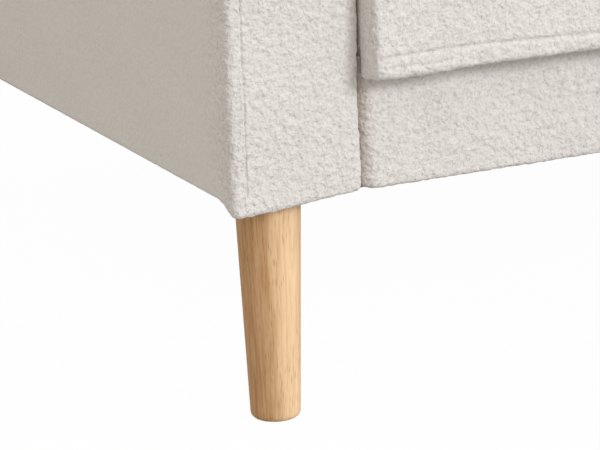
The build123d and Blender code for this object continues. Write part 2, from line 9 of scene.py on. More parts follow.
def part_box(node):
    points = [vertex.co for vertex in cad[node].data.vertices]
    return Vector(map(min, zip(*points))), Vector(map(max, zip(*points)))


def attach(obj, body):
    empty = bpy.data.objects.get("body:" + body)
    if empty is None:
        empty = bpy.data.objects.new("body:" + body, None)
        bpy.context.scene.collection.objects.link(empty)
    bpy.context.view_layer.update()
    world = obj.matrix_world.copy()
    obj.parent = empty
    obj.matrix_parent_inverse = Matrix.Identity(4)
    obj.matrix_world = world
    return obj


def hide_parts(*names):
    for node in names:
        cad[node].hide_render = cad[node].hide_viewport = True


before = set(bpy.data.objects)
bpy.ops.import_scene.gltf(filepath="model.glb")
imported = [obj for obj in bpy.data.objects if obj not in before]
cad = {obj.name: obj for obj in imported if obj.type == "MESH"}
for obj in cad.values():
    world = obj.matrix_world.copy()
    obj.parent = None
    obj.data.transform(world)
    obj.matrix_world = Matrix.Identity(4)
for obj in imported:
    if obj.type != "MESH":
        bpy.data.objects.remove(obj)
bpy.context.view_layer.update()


# Timber frame: raw sawn softwood rails, posts, stretcher and corner blocks, glued and screwed together,
# with a brown fibreboard panel inside each arm. The covers hide all of it.
class Shade:
    """One output of a shader tree: + - * on it add Math nodes, and node() adds any other node."""

    def __init__(self, tree, output):
        self.tree, self.output = tree, output

    def node(self, kind, inputs, result=0, **settings):
        """A node of that kind with its settings and the values or links of its sockets."""
        made = self.tree.nodes.new("ShaderNode" + kind)
        for key, value in settings.items():
            setattr(made, key, value)
        for key, value in inputs.items():
            if isinstance(value, Shade):
                self.tree.links.new(value.output, made.inputs[key])
            else:
                made.inputs[key].default_value = value
        return Shade(self.tree, made.outputs[result])

    def math(self, operation, first, second=0.0):
        """A Math node's operation on one or two values."""
        return self.node("Math", {0: first, 1: second}, operation=operation)

    def __add__(self, other):
        return self.math("ADD", self, other)

    def __sub__(self, other):
        return self.math("SUBTRACT", self, other)

    def __rsub__(self, other):
        return self.math("SUBTRACT", other, self)

    def __mul__(self, other):
        return self.math("MULTIPLY", self, other)

    __radd__, __rmul__ = __add__, __mul__

    def folded(self):
        """Distance of a value from a half, doubled: soft lumps parted by narrow creases."""
        return self.math("ABSOLUTE", self * 2 - 1)

    def stretched(self, *scale):
        """These coordinates multiplied by a scale along each axis."""
        return self.node("Mapping", {"Vector": self, "Scale": scale})

    def noise(self, scale, detail=2.0, roughness=0.5, distortion=0.0):
        """Smooth random values from 0 to 1, with finer ones added as the detail and the roughness say."""
        return self.node("TexNoise", {
            "Vector": self, "Scale": scale, "Detail": detail,
            "Roughness": roughness, "Distortion": distortion,
        })

    def cells(self, scale):
        """Distance to the nearest of many scattered points."""
        return self.node("TexVoronoi", {"Vector": self, "Scale": scale})

    def wave(self, scale, axis):
        """Even ripples across one axis."""
        return self.node("TexWave", {"Vector": self, "Scale": scale}, result=1, bands_direction=axis)

    def eased(self, low, high):
        """0 below low, 1 above high, and a smooth step between them."""
        return self.node(
            "MapRange", {"Value": self, "From Min": low, "From Max": high}, interpolation_type="SMOOTHSTEP"
        )

    def mixed(self, first, second):
        """The first colour where this value is 0 and the second where it is 1."""
        first, second = [c if isinstance(c, Shade) else (*c, 1) for c in (first, second)]
        return self.node("Mix", {0: self, 6: first, 7: second}, result=2, data_type="RGBA")

    def bump(self, distance, strength=1.0):
        """A normal tilted by the slope of this value, taken as a height of up to that distance."""
        return self.node("Bump", {"Height": self, "Distance": distance, "Strength": strength})

    def into(self, socket):
        """Links this output to a socket."""
        self.tree.links.new(self.output, socket)


def new_finish(name):
    """A node material, its Principled shader's inputs, and the piece's own coordinates to paint it by."""
    material = bpy.data.materials.new(name)
    material.use_nodes = True
    tree = material.node_tree
    place = Shade(tree, tree.nodes.new("ShaderNodeTexCoord").outputs["Object"])
    return material, tree.nodes["Principled BSDF"].inputs, place


def finish(material, *names):
    """Puts a finish on CAD pieces that keep their own shape."""
    for name in names:
        cad[name].data.materials.clear()
        cad[name].data.materials.append(material)


def sawn_softwood(name, run):
    """Straight fibres and darker late-wood lines along the axis of the run, crossed by faint saw marks."""
    material, shader, place = new_finish(name)
    slow = [1.5 if axis == run else 26 for axis in "XYZ"]
    quick = [9 if axis == run else 380 for axis in "XYZ"]
    growth = place.stretched(*slow).noise(1.0, 1.0) * 9
    ring = growth.math("FRACT", growth)
    fibre = place.stretched(*quick).noise(1.0, 4.0, 0.6)
    saw = place.noise(240.0, 1.0)
    tone = fibre * 0.5 + ring.eased(0.2, 1.0) * 0.5
    tone.mixed((0.76, 0.60, 0.40), (0.60, 0.43, 0.25)).into(shader["Base Color"])
    (0.72 + fibre * 0.16).into(shader["Roughness"])
    (fibre * 0.7 + saw * 0.3).bump(0.0004, 0.5).into(shader["Normal"])
    return material


finish(
    sawn_softwood("softwood_across", "X"),
    "front_rail", "rear_rail", "back_bottom_rail", "back_top_rail", "corner_blocks",
)
finish(
    sawn_softwood("softwood_lengthwise", "Y"),
    "side_rails", "centre_stretcher", "arm_bottom_rails", "arm_top_rail_left", "arm_top_rail_right",
)
finish(sawn_softwood("softwood_upright", "Z"), "arm_posts_left", "arm_posts_right", "back_posts")

fibreboard, shader, place = new_finish("brown_fibreboard")
fleck = place.noise(650.0, 3.0, 0.7)
fleck.eased(0.3, 0.7).mixed((0.27, 0.17, 0.095), (0.42, 0.29, 0.17)).into(shader["Base Color"])
(0.5 + fleck * 0.25).into(shader["Roughness"])
fleck.bump(0.0003, 0.4).into(shader["Normal"])
finish(fibreboard, "arm_inner_boards")


# Fixings: zinc-plated hanger bolts, leg plates, screws and frame bolts, and the springs of dark oiled wire
# that run from the front rail to the rear rail in steel clips.
def metal(name, dark, light, grain, rough):
    """Plated or oiled steel: cloudy patches of tone and roughness under fine rubbed grain."""
    material, shader, place = new_finish(name)
    cloud, rub = place.noise(grain, 3.0), place.noise(grain * 9, 2.0)
    (cloud * 0.6 + rub * 0.4).eased(0.3, 0.7).mixed(dark, light).into(shader["Base Color"])
    (rough + cloud * 0.2 - rub * 0.06).into(shader["Roughness"])
    rub.bump(0.0001, 0.3).into(shader["Normal"])
    shader["Metallic"].default_value = 1.0
    return material


zinc = metal("zinc_plate", (0.50, 0.50, 0.48), (0.68, 0.68, 0.66), 90.0, 0.28)
finish(zinc, "leg_hanger_bolts", "leg_mounting_plates", "leg_plate_screws", "frame_bolts")
wire = metal("oiled_wire", (0.13, 0.13, 0.14), (0.26, 0.26, 0.27), 140.0, 0.34)
finish(wire, "seat_springs", "spring_clips")


# Webbing and felt: woven elastic straps stretched up the back frame, and a pad of pressed felt that lies
# on the springs under the deck cloth.
webbing, shader, place = new_finish("woven_strap")
weave = place.wave(210.0, "X") * place.wave(330.0, "Z")
tone = weave * 0.7 + place.noise(60.0) * 0.3
tone.mixed((0.30, 0.25, 0.18), (0.50, 0.44, 0.33)).into(shader["Base Color"])
(0.8 + weave * 0.1).into(shader["Roughness"])
weave.bump(0.0004, 0.6).into(shader["Normal"])
finish(webbing, "back_webbing")


def pressed_felt(name, dark, light):
    """Matted fibres: long-grained speckle with a fuzzy surface."""
    material, shader, place = new_finish(name)
    fuzz = place.noise(520.0, 4.0, 0.7, 1.2)
    tone = fuzz.eased(0.3, 0.7) * 0.7 + place.noise(70.0, 2.0) * 0.3
    tone.mixed(dark, light).into(shader["Base Color"])
    (0.92 + fuzz * 0.06).into(shader["Roughness"])
    fuzz.bump(0.0008, 0.7).into(shader["Normal"])
    return material


def surface(name, points, wrap=False, outward=1):
    """A mesh over a grid of points, a quad between neighbours; wrap joins the last column to the first."""
    index = np.arange(points.shape[0] * points.shape[1]).reshape(points.shape[:2])
    if wrap:
        index = np.concatenate((index, index[:, :1]), axis=1)
    quads = np.stack((index[:-1, :-1], index[1:, :-1], index[1:, 1:], index[:-1, 1:]), -1).reshape(-1, 4)
    if outward < 0:
        quads = quads[:, ::-1]
    mesh = bpy.data.meshes.new(name)
    mesh.from_pydata(points.reshape(-1, 3).tolist(), [], quads.tolist(), False)
    made = bpy.data.objects.new(name, mesh)
    bpy.context.scene.collection.objects.link(made)
    return made


def closed(made):
    """Joins the doubled points of a mesh at its poles, fills its holes and turns its faces outwards."""
    shape = bmesh.new()
    shape.from_mesh(made.data)
    bmesh.ops.remove_doubles(shape, verts=shape.verts, dist=1e-6)
    bmesh.ops.holes_fill(shape, edges=shape.edges)
    bmesh.ops.recalc_face_normals(shape, faces=shape.faces)
    shape.to_mesh(made.data)
    shape.free()
    return made


def capped(name, rings):
    """A closed form: rings of points joined in order, with both end rings drawn to their middles."""
    ends = [np.repeat(rings[k].mean(0)[None, None], rings.shape[1], 1) for k in (0, -1)]
    return closed(surface(name, np.concatenate((ends[0], rings, ends[1])), wrap=True))


def dress(made, material, slot, body, *stood_for):
    """Gives a piece its finish and its body, and hides the CAD nodes that it stands for. The slot is not
    used.
    """
    made.data.materials.clear()
    made.data.materials.append(material)
    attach(made, body)
    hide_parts(*stood_for)
    return made


def bent_line(corners, radii, steps=10):
    """A line through corner points, each rounded by an arc that is tangent to both of its runs. Gives its
    points, their distances along it, and the distances at which its runs and arcs end."""
    corners = np.asarray(corners, float)
    parts = [corners[:1]]
    for before, here, after, radius in zip(corners[:-2], corners[1:-1], corners[2:], radii):
        u, v = before - here, after - here
        u, v = u / np.linalg.norm(u), v / np.linalg.norm(v)
        half = math.acos(np.clip(u @ v, -1, 1)) / 2
        middle = here + (u + v) / np.linalg.norm(u + v) * radius / math.sin(half)
        reach = radius / math.tan(half)
        chord = np.linspace(here + u * reach - middle, here + v * reach - middle, steps)
        parts.append(middle + radius * chord / np.linalg.norm(chord, axis=1, keepdims=True))
    line = np.concatenate((*parts, corners[-1:]))
    length = np.concatenate(([0], np.cumsum(np.linalg.norm(np.diff(line, axis=0), axis=1))))
    ends = [0, *(1 + k * steps + e for k in range(len(radii)) for e in (0, steps - 1)), -1]
    return line, length, length[ends]


def along(run, where):
    """The points of a bent line at these distances along it."""
    line, length, _ = run
    return np.stack([np.interp(where, length, column) for column in line.T], -1)


def unevenness(s, t, length, seed):
    """Soft lumps of about that length, from -1 to 1: a sum of five slanted waves."""
    waves = [
        np.sin(math.tau * (s * math.cos(a) + t * math.sin(a)) / (length * (0.8 + 0.13 * n)) + 7.3 * n + seed)
        for n, a in enumerate((0.3, 1.1, 1.9, 2.6, 0.75))
    ]
    return sum(waves) / 3.2


low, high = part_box("seat_deck_pad")
y, z, thick = (low.y + high.y) / 2, (low.z + high.z) / 2, high.z - low.z
section = bent_line(
    [(y, low.z), (high.y, low.z), (high.y, high.z), (low.y, high.z), (low.y, low.z), (y - 1e-4, low.z)],
    [thick * 0.4] * 4,
)
ring = along(section, np.linspace(0, section[1][-1], 161)[:-1])
x = np.linspace(low.x, high.x, 121)
rings = np.stack(np.broadcast_arrays(x[:, None], ring[:, 0], ring[:, 1]), -1).copy()
rings[..., 2] += 0.0004 * unevenness(rings[..., 0], rings[..., 1], 0.05, 0.4) * (rings[..., 2] > z)
felt_pad = capped("felt_pad", rings)
grey_felt = pressed_felt("grey_felt", (0.22, 0.20, 0.18), (0.40, 0.37, 0.33))
dress(felt_pad, grey_felt, "felt", "sofa_frame", "seat_deck_pad")


# Looped-pile cloth: off-white yarn in small curls on a woven brown backing, cut into panels that are sewn
# together, pulled over wadding and stapled under the frame. Every covered piece of the sofa is made of it.
def looped_cloth(name, shadow, light, groove_shade):
    """Soft lumps of yarn about 4 mm across under curls of 1 to 2 mm, with small dark pits between the curls
    and broad faint clouds of tone. Where the attributes say brushed, the curls lie flat and even, and where
    they say folded, a brown painted shade darkens the cloth."""
    material, shader, place = new_finish(name)
    curled = 1 - place.node("Attribute", {}, result=2, attribute_name="brushed") * 0.72
    folded = place.node("Attribute", {}, result=2, attribute_name="folded")
    lump = place.noise(200.0, 1.0, 0.5)
    curl = place.noise(440.0, 2.0, 0.55, 0.4)
    fuzz = place.noise(1000.0, 2.0, 0.6)
    cloud = place.noise(12.0, 2.0)
    open_pile = (curl * 0.7 + fuzz * 0.3).eased(0.30, 0.54)
    tone = open_pile * 0.7 + lump.eased(0.28, 0.68) * 0.2 + cloud * 0.1
    yarn = (0.72 + (tone - 0.72) * curled).mixed(shadow, light)
    # Painted shade: where folded is set, the yarn's colour is mixed towards the brown shade colour.
    (folded * (1.5 - tone)).mixed(yarn, groove_shade).into(shader["Base Color"])
    (1.0 - curl * 0.1).into(shader["Roughness"])
    ((lump * 0.5 + curl * 0.4 + fuzz * 0.1) * curled).bump(0.0032).into(shader["Normal"])
    shader["Specular IOR Level"].default_value = 0.12
    shader["Sheen Weight"].default_value = 0.15
    shader["Sheen Roughness"].default_value = 0.6
    shader["Sheen Tint"].default_value = (1.0, 0.97, 0.94, 1)
    return material


# The third colour is the brown painted shade for the grooves where the cloth is folded in.
cloth = looped_cloth("looped_cloth", (0.585, 0.555, 0.53), (0.825, 0.795, 0.77), (0.40, 0.30, 0.225))


# Arms: a slim padded box on each side. The outer panel turns over every edge to a seam 11 mm in, the
# front panel runs from that seam round the inner edge, and one more panel covers the top and the seat side.
def spaced(stops, steps):
    """Positions from the first stop to the last, with its own step for the stretch between each two."""
    runs = [
        np.linspace(a, b, max(2, round((b - a) / step) + 1))[:-1]
        for a, b, step in zip(stops[:-1], stops[1:], steps)
    ]
    return np.concatenate((*runs, stops[-1:]))


def eased(value, low, high):
    """0 below low, 1 above high, and a smooth step between them."""
    t = np.clip((value - low) / (high - low), 0, 1)
    return t * t * (3 - 2 * t)


def draw(i, j, seed):
    """A number from 0 to 1 for each square (i, j): the fraction of a large multiple of a sine."""
    return np.modf(np.abs(np.sin(i * 12.9898 + j * 78.233 + seed) * 43758.5453))[0]


def wander(s, t, size, seed):
    """Smooth random heights from -1 to 1: a slope drawn at random for each corner of a square net, blended
    between the four corners round a point."""
    i, j = np.floor(s / size), np.floor(t / size)
    u, v = s / size - i, t / size - j
    blend_u, blend_v = eased(u, 0, 1), eased(v, 0, 1)
    total = np.zeros(s.shape)
    for di in (0, 1):
        for dj in (0, 1):
            turn = math.tau * draw(i + di, j + dj, seed)
            share = (blend_u if di else 1 - blend_u) * (blend_v if dj else 1 - blend_v)
            total += share * ((u - di) * np.cos(turn) + (v - dj) * np.sin(turn))
    return total * 1.6


def pile(s, t):
    """Height of the looped pile about its mean: soft lumps of yarn in two sizes, less small pits between
    the curls."""
    pits = eased(-wander(s, t, 0.0029, 8.9), 0.1, 0.8)
    return 0.55 * wander(s, t, 0.0068, 1.3) + 0.4 * wander(s, t, 0.0037, 4.1) - 0.6 * pits


def raised(points, height, outward=1):
    """A grid of points moved along the grid's own normal by a height at each."""
    normal = np.cross(np.gradient(points, axis=0), np.gradient(points, axis=1))
    normal /= np.maximum(np.linalg.norm(normal, axis=-1, keepdims=True), 1e-12)
    return points + outward * height[..., None] * normal


def wrapped(plan, ends, rounds, where, upright):
    """Cloth carried round a plan line and up a wall: at each inset and height of the upright line, the plan
    is drawn again with its corners moved in by the inset and rounded by that row's radii. Places along it
    keep their share of each run and arc, whose ends are those of the plan without inset."""
    rows = []
    for (inset, height), radii in zip(upright, rounds):
        run = bent_line(plan(inset), radii)
        row = along(run, np.interp(where, ends, run[2]))
        rows.append(np.column_stack((row, np.full(len(row), height))))
    return np.array(rows)


def tuck(distance, depth, width):
    """Cloth drawn down into a seam, as a bell-shaped dip of that depth and width."""
    return -depth * np.exp(-((distance / width) ** 2))


def marked(made, name, values):
    """Writes a value for each point of a piece, which its finish reads by that name."""
    made.data.attributes.new(name, "FLOAT", "POINT").data.foreach_set("value", np.ravel(values))


SEAM_INSET, SEAM_BAND, UNDER_LIP, INNER_LIP, INTO_BACK = 0.011, 0.004, 0.0135, 0.014, 0.002
OUTER_ROUND, INNER_ROUND, REAR_ROUND = 0.0060, 0.0030, 0.006
BASE_ROUND, TOP_ROUND, INNER_BASE_ROUND, LEAST_ROUND = 0.0035, 0.0080, 0.005, 0.0004
FRONT_SEAM_DIP, TOP_SEAM_DIP = (0.0011, 0.0007), (0.0008, 0.0018)
CORNER_SAG, INNER_SAG = 0.0080, 0.0012
PILE_REACH, PILE_RISE = 0.45, 0.18
for side, word in ((-1, "left"), (1, "right")):
    near = side < 0
    low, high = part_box(f"arm_outer_cover_{word}")
    inner_low, inner_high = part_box(f"arm_inner_cover_{word}")
    outer_x, inner_x = (low.x, inner_high.x) if near else (high.x, inner_low.x)
    front_y, rear_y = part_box(f"arm_front_cover_{word}")[0].y, high.y
    base_z, top_z = low.z, inner_high.z

    def plan(inset):
        """The arm's edge from above: the back seam, the outer side, the front and the turn to the seat."""
        return [
            (outer_x - side * max(SEAM_INSET, inset + 0.001), rear_y - inset),
            (outer_x - side * inset, rear_y - inset),
            (outer_x - side * inset, front_y + inset),
            (inner_x + side * inset, front_y + inset),
            (inner_x + side * inset, front_y + max(INNER_LIP, inset + 0.001)),
        ]

    radii = np.array((REAR_ROUND, OUTER_ROUND, INNER_ROUND))
    ends = bent_line(plan(0.0), radii)[2]
    seam, corner = ends[4] + SEAM_INSET - OUTER_ROUND, (ends[3] + ends[4]) / 2
    side_step, front_step, foot_step = (0.0022, 0.0009, 0.0010) if near else (0.006, 0.004, 0.005)
    to_seam = spaced(
        [0, ends[3] - PILE_REACH, ends[3] - SEAM_BAND, seam - SEAM_BAND, seam],
        [0.006, side_step, 0.0011, 0.0006],
    )
    from_seam = spaced([seam, seam + SEAM_BAND, ends[5], ends[7]], [0.0006, front_step, 0.0010])
    where = np.concatenate((to_seam[:-1], from_seam))
    wall = bent_line(
        [(UNDER_LIP, base_z), (0, base_z), (0, top_z), (SEAM_INSET, top_z)],
        (BASE_ROUND, TOP_ROUND),
    )
    rise = spaced([0, PILE_RISE, wall[2][3], wall[1][-1]], [foot_step, 0.006, 0.0015])
    rows = along(wall, rise)
    sheet = wrapped(plan, ends, np.maximum(radii - rows[:, :1], LEAST_ROUND), where, rows)
    s, t = np.meshgrid(where - corner, rise, indexing="xy")
    side_sag = CORNER_SAG * np.exp(-((s / 0.013) ** 2))
    front_sag = INNER_SAG + (CORNER_SAG - INNER_SAG) * (1 - eased(s, 0.0, 0.11))
    sag = np.where(s < 0, side_sag, front_sag) * eased(t, 0.0, UNDER_LIP - BASE_ROUND)
    sheet[..., 2] -= sag * (1 - eased(sheet[..., 2], base_z, base_z + 0.07))
    on_front = eased(s, -0.004, 0.004)
    calm = eased(t, 0.012, 0.035) * eased(rise[-1] - t, 0.0, 0.02)
    height = tuck(s - (seam - corner), *FRONT_SEAM_DIP) * eased(t, 0.016, 0.03)
    height += (0.0006 + 0.0004 * on_front) * unevenness(s, t, 0.09, 1.0) * calm
    height += tuck(rise[-1] - t, *TOP_SEAM_DIP)
    if near:
        looped = eased(s, 0.01 - PILE_REACH, 0.05 - PILE_REACH) * (1 - eased(t, PILE_RISE - 0.03, PILE_RISE))
        height += looped * (0.0002 + 0.0005 * eased(s, -0.04, -0.002)) * pile(s, t)
    sheet = raised(sheet, height, side)
    split = int(np.searchsorted(where, seam - 1e-7))
    outer_panel = surface(f"arm_outer_panel_{word}", sheet[:, : split + 1], outward=side)
    marked(outer_panel, "brushed", eased(-s[:, : split + 1], 0.0, 0.05))
    dress(outer_panel, cloth, "looped_cloth", "sofa_frame", f"arm_outer_cover_{word}", f"arm_padding_{word}")
    front_panel = surface(f"arm_front_panel_{word}", sheet[:, split:], outward=side)
    dress(front_panel, cloth, "looped_cloth", "sofa_frame", f"arm_front_cover_{word}")

    run = bent_line(
        [
            (outer_x - side * SEAM_INSET, top_z),
            (inner_x, top_z),
            (inner_x, base_z),
            (inner_x + side * UNDER_LIP, base_z),
        ],
        (TOP_ROUND, INNER_BASE_ROUND),
    )
    front_seam_y = front_y + SEAM_INSET
    p, q = np.meshgrid(
        spaced([0, SEAM_BAND, run[1][-1]], [0.001, 0.006]),
        spaced([front_seam_y, front_seam_y + SEAM_BAND, rear_y + INTO_BACK], [0.001, 0.007]),
        indexing="ij",
    )
    section = along(run, p)
    sheet = np.stack((section[..., 0], q, section[..., 1]), -1)
    inset = np.minimum(p, q - front_seam_y)
    swell = 0.0011 * unevenness(p, q, 0.13, 3.0) * eased(inset, 0.01, 0.05)
    sheet = raised(sheet, tuck(inset, *TOP_SEAM_DIP) + swell, side)
    sheet[..., 2] = np.maximum(sheet[..., 2], base_z)
    inner_panel = surface(f"arm_inner_panel_{word}", sheet, outward=side)
    dress(inner_panel, cloth, "looped_cloth", "sofa_frame", f"arm_inner_cover_{word}")


# Back: a full-width padded frame. The inner panel covers its front, top and sides and is sewn to the
# outer panel at a seam 11 mm in from the rear edge.
def laid_over(s, t, half_s, half_t, bend):
    """A sheet laid over a flat rectangle and turned down round its edges: the overhang first follows a
    quarter round and then runs straight down, and at a corner it fans out. Gives each point's two places
    on the rectangle's plane and its drop."""
    over_s, over_t = np.maximum(np.abs(s) - half_s + bend, 0), np.maximum(np.abs(t) - half_t + bend, 0)
    ring = np.maximum(over_s, over_t)
    share = np.minimum(over_s, over_t) / np.maximum(ring, 1e-9)
    fan = np.where(over_s >= over_t, share, 2 - share) * math.pi / 4
    roll = np.minimum(ring / bend, math.pi / 2)
    out = bend * np.sin(roll)
    a = np.sign(s) * (np.minimum(np.abs(s), half_s - bend) + out * np.cos(fan))
    b = np.sign(t) * (np.minimum(np.abs(t), half_t - bend) + out * np.sin(fan))
    return a, b, bend * (1 - np.cos(roll)) + np.maximum(ring - bend * math.pi / 2, 0)


FRONT_BEND, REAR_BEND, BACK_SEAM_DIP = 0.014, 0.010, (0.0010, 0.0020)
low, (half_x, _, top_z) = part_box("back_inner_cover")
rear_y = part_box("back_outer_cover")[1].y
half_z = (top_z - low.z) / 2
wrap_round = rear_y - low.y - SEAM_INSET
for name, face_y, drop, bend, outward, stood_for in (
    ("back_inner_panel", low.y, wrap_round, FRONT_BEND, 1, ("back_inner_cover", "back_padding")),
    ("back_outer_panel", rear_y, SEAM_INSET, REAR_BEND, -1, ("back_outer_cover",)),
):
    reach = bend * math.pi / 2 + drop - bend
    reach_x, reach_z = half_x - bend + reach, half_z - bend + reach
    s, t = np.meshgrid(
        spaced([-reach_x, SEAM_BAND - reach_x, reach_x - SEAM_BAND, reach_x], [0.001, 0.007, 0.001]),
        spaced([-reach_z, SEAM_BAND - reach_z, reach_z - SEAM_BAND, reach_z], [0.001, 0.007, 0.001]),
        indexing="ij",
    )
    a, b, fall = laid_over(s, t, half_x, half_z, bend)
    sheet = np.stack((a, face_y + outward * fall, low.z + half_z + b), -1)
    inset = np.minimum(reach_x - np.abs(s), reach_z - np.abs(t))
    swell = 0.0013 * unevenness(s, t, 0.16, 5.0 + outward) * eased(inset, 0.01, 0.08)
    sheet = raised(sheet, tuck(inset, *BACK_SEAM_DIP) + swell, outward)
    sheet[..., 2] = np.maximum(sheet[..., 2], low.z)
    panel = surface(name, sheet, outward=outward)
    dress(panel, cloth, "looped_cloth", "sofa_frame", *stood_for)


# Front rail: the same cloth over foam, turned under the rail and back over its top edge, and pulled into
# a groove against each arm. The staples draw a few upright ripples into it.
END_ROUND, END_TURN, RAIL_LIP, RAIL_TOP_ROUND, RAIL_PILE = 0.0105, 0.022, 0.0145, 0.005, 0.20
low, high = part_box("front_rail_cover")
depth = high.y - low.y


def plan(inset):
    """The rail's front edge from above, with both ends turned in against the arms."""
    turn_in = low.y + inset + END_TURN * (1 - 0.8 * inset / depth)
    return [(low.x, turn_in), (low.x, low.y + inset), (high.x, low.y + inset), (high.x, turn_in)]


ends = bent_line(plan(0.0), (END_ROUND, END_ROUND))[2]
where = spaced([0, ends[2], ends[2] + RAIL_PILE, ends[3], ends[5]], [0.0010, 0.0010, 0.006, 0.0014])
wall = bent_line(
    [(RAIL_LIP, low.z), (0, low.z), (0, high.z), (depth, high.z)],
    (BASE_ROUND, RAIL_TOP_ROUND),
)
rise = spaced([0, wall[2][4], wall[1][-1]], [0.0010, 0.005])
rows = along(wall, rise)
rounds = np.maximum(END_ROUND - 2 * rows[:, 0] * (rise > wall[2][2]), 0.002)
sheet = wrapped(plan, ends, np.column_stack((rounds, rounds)), where, rows)
s, t = np.meshgrid(where - ends[2], rise, indexing="xy")
inset = np.minimum(s, ends[3] - ends[2] - s)
sag = 0.0018 * eased(t, 0.0, 0.010) * eased(inset, -END_ROUND, 0.0)
sheet[..., 2] -= sag * (1 - eased(sheet[..., 2], low.z, low.z + 0.03))
ripple = np.sin(s * 118 + 1.5 * np.sin(s * 23)) * np.sin(s * 31 + 0.4)
swell = 0.0007 * ripple + 0.0008 * unevenness(s, t, 0.08, 6.0)
height = swell * eased(inset, 0.0, 0.03) * eased(t, 0.012, 0.035)
height += (1 - eased(s, RAIL_PILE - 0.04, RAIL_PILE)) * 0.0007 * pile(s, t)
rail_panel = surface("front_rail_panel", raised(sheet, height, -1), outward=-1)
# Painted shade: the rail's cloth is painted browner and darker at both ends, in the groove against each arm.
marked(rail_panel, "folded", 0.5 * (1 - eased(inset, -END_ROUND, 0.003)))
dress(rail_panel, cloth, "looped_cloth", "sofa_frame", "front_rail_cover", "front_rail_padding")


# Deck cloth and dust cover: a plain woven cloth stretched over the springs, and black spunbond stapled
# under the frame with a round hole for each leg.
deck_cloth, shader, place = new_finish("plain_weave")
weave = place.wave(160.0, "X").folded() * 0.5 + place.wave(160.0, "Y").folded() * 0.5
slub = place.stretched(30, 420, 30).noise(1.0, 2.0)
(weave * 0.6 + slub * 0.4).mixed((0.60, 0.565, 0.52), (0.78, 0.75, 0.70)).into(shader["Base Color"])
(0.9 - weave * 0.1).into(shader["Roughness"])
weave.bump(0.0005, 0.6).into(shader["Normal"])
low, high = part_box("seat_deck_cloth")
x, y = np.meshgrid(spaced([low.x, high.x], [0.012]), spaced([low.y, high.y], [0.012]), indexing="ij")
rim = np.minimum(np.minimum(x - low.x, high.x - x), np.minimum(y - low.y, high.y - y))
height = high.z - 0.0006 + 0.0004 * unevenness(x, y, 0.15, 2.0) * eased(rim, 0.0, 0.05)
deck = surface("seat_deck_sheet", np.stack((x, y, height), -1))
dress(deck, deck_cloth, "platform_cloth", "sofa_frame", "seat_deck_cloth")

spunbond, shader, place = new_finish("black_spunbond")
dots = place.cells(420.0).eased(0.1, 0.5)
tone = dots * 0.6 + place.noise(900.0) * 0.4
tone.mixed((0.012, 0.012, 0.013), (0.045, 0.045, 0.046)).into(shader["Base Color"])
(0.75 + dots * 0.15).into(shader["Roughness"])
dots.bump(0.0003, 0.6).into(shader["Normal"])
low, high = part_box("dust_cover")
LEG_HOLE, MESH_STEP = 0.0236, 0.008
x, y = np.meshgrid(spaced([low.x, high.x], [MESH_STEP]), spaced([low.y, high.y], [MESH_STEP]), indexing="ij")
middles = {
    corner: (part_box(f"leg_{corner}")[0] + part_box(f"leg_{corner}")[1]) / 2
    for corner in ("front_left", "front_right", "rear_left", "rear_right")
}
gap = np.full(x.shape, 1.0)
for middle in middles.values():
    away = np.hypot(x - middle.x, y - middle.y)
    pulled = np.where(away < LEG_HOLE + MESH_STEP / 2, LEG_HOLE / np.maximum(away, 1e-6), 1.0)
    x, y = middle.x + (x - middle.x) * pulled, middle.y + (y - middle.y) * pulled
    gap = np.minimum(gap, away)
rim = np.minimum(np.minimum(x - low.x, high.x - x), np.minimum(y - low.y, high.y - y))
height = low.z + 0.0004 - 0.0003 * unevenness(x, y, 0.2, 4.0) * eased(rim, 0.0, 0.06)
dust = surface("dust_sheet", np.stack((x, y, height), -1), outward=-1)
shape = bmesh.new()
shape.from_mesh(dust.data)
shape.verts.ensure_lookup_table()
inside = np.flatnonzero((gap < LEG_HOLE - MESH_STEP / 2).ravel())
bmesh.ops.delete(shape, geom=[shape.verts[k] for k in inside], context="VERTS")
bmesh.ops.dissolve_degenerate(shape, dist=1e-5, edges=shape.edges)
shape.to_mesh(dust.data)
shape.free()
dress(dust, spunbond, "dust_cloth", "sofa_frame", "dust_cover")


# Legs: each is turned from one piece of pale hardwood, round and straight with a light taper and a softened
# foot, under a clear matt lacquer. It screws on its hanger bolt, and a felt glide is set into its foot.
def pale_hardwood():
    """Upright fibres, broad soft growth bands and short dark pores, with a thin matt lacquer over them. The
    attribute gives the side of the leg that is painted darker and browner as shade; the rest is painted
    paler as lit wood."""
    material, shader, place = new_finish("pale_hardwood")
    fibre = place.stretched(520, 520, 22).noise(1.0, 4.0, 0.62)
    band = place.stretched(52, 52, 1.8).noise(1.0, 2.0, 0.5, 0.4).eased(0.34, 0.66)
    patch = place.stretched(95, 95, 16).noise(1.0, 2.0).eased(0.30, 0.56)
    pore = (1 - place.stretched(900, 900, 75).cells(1.0).eased(0.10, 0.34)) * patch
    # Painted shade and painted light: the marked side of each leg is painted dark brown as shade, the rest
    # pale as lit wood.
    painted_lit_side = 1 - place.node("Attribute", {}, result=2, attribute_name="painted_shade_side")
    tone = fibre.eased(0.26, 0.68) * 0.25 + band * 0.22 + painted_lit_side * 0.53
    wood = tone.mixed((0.35, 0.130, 0.016), (0.99, 0.71, 0.44))
    (pore * 0.5).mixed(wood, (0.34, 0.165, 0.06)).into(shader["Base Color"])
    (0.56 - fibre * 0.12 + pore * 0.2).into(shader["Roughness"])
    (fibre * 0.5 - pore * 0.8).bump(0.0002, 0.6).into(shader["Normal"])
    shader["Specular IOR Level"].default_value = 0.06
    return material


